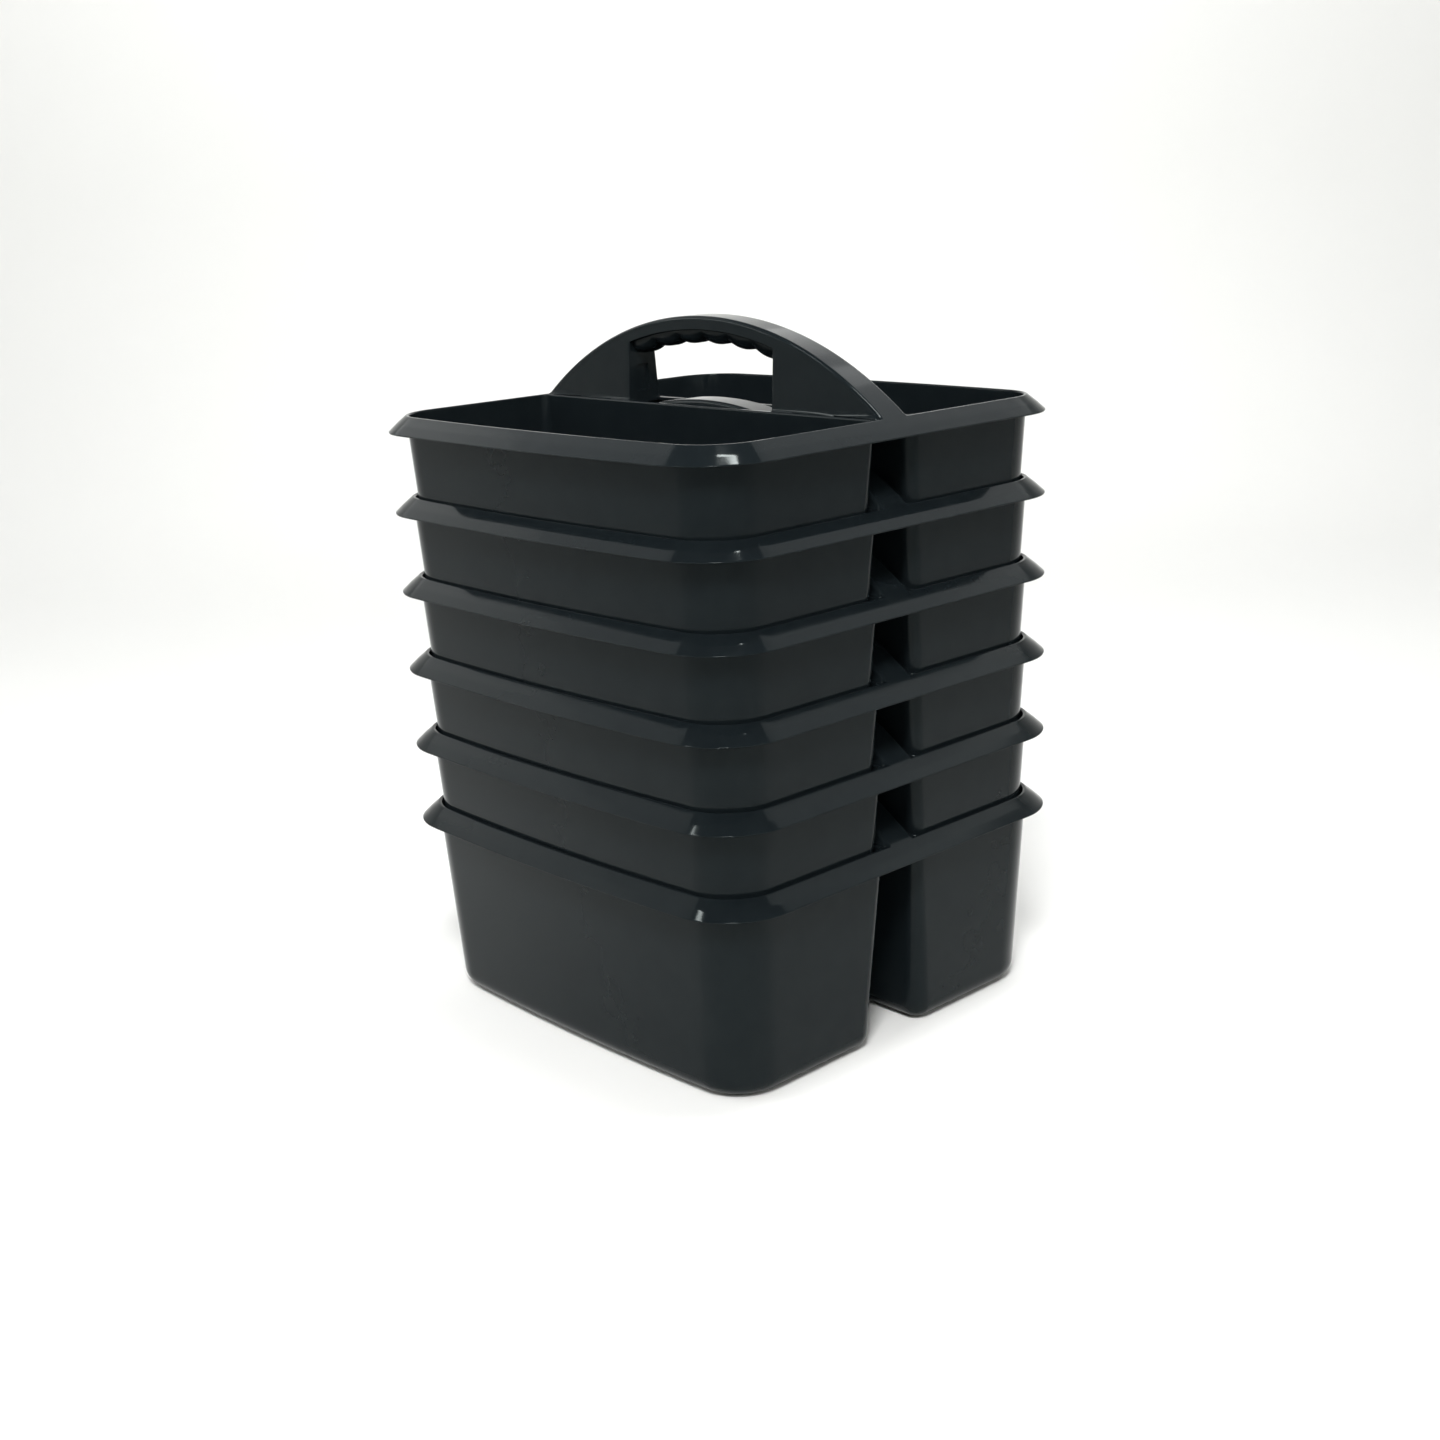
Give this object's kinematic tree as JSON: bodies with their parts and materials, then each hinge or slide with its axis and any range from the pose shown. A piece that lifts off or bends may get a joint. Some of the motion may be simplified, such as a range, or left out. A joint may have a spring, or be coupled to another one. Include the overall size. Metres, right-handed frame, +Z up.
{
  "type": "stack of nesting cleaning caddies",
  "caption": "Stack of nesting cleaning caddies, each a thin-walled moulding with side-by-side open tubs, a down-turned rim and an arched handle; each lifts off the one below.",
  "frame": {"origin": "middle of the bottom caddy's base, on the surface it stands on", "axes": "+X along the handles, +Y across the handles from the front tubs to the rear tubs, +Z up through the stack"},
  "size_m": [0.235, 0.2286, 0.3183],
  "materials": {
    "moulded_polypropylene": "moulded gloss"
  },
  "bodies": {
    "caddy_1": {"caddy_1": "moulded_polypropylene"},
    "caddy_2": {"caddy_2": "moulded_polypropylene"},
    "caddy_3": {"caddy_3": "moulded_polypropylene"},
    "caddy_4": {"caddy_4": "moulded_polypropylene"},
    "caddy_5": {"caddy_5": "moulded_polypropylene"},
    "caddy_6": {"caddy_6": "moulded_polypropylene"}
  },
  "joints": [
    {"name": "lift_2", "type": "slide", "parent": "caddy_1", "child": "caddy_2", "axis": [0, 0, 1], "range_m": [0, 0.11]},
    {"name": "lift_3", "type": "slide", "parent": "caddy_2", "child": "caddy_3", "axis": [0, 0, 1], "range_m": [0, 0.11]},
    {"name": "lift_4", "type": "slide", "parent": "caddy_3", "child": "caddy_4", "axis": [0, 0, 1], "range_m": [0, 0.11]},
    {"name": "lift_5", "type": "slide", "parent": "caddy_4", "child": "caddy_5", "axis": [0, 0, 1], "range_m": [0, 0.11]},
    {"name": "lift_6", "type": "slide", "parent": "caddy_5", "child": "caddy_6", "axis": [0, 0, 1], "range_m": [0, 0.11]}
  ]
}
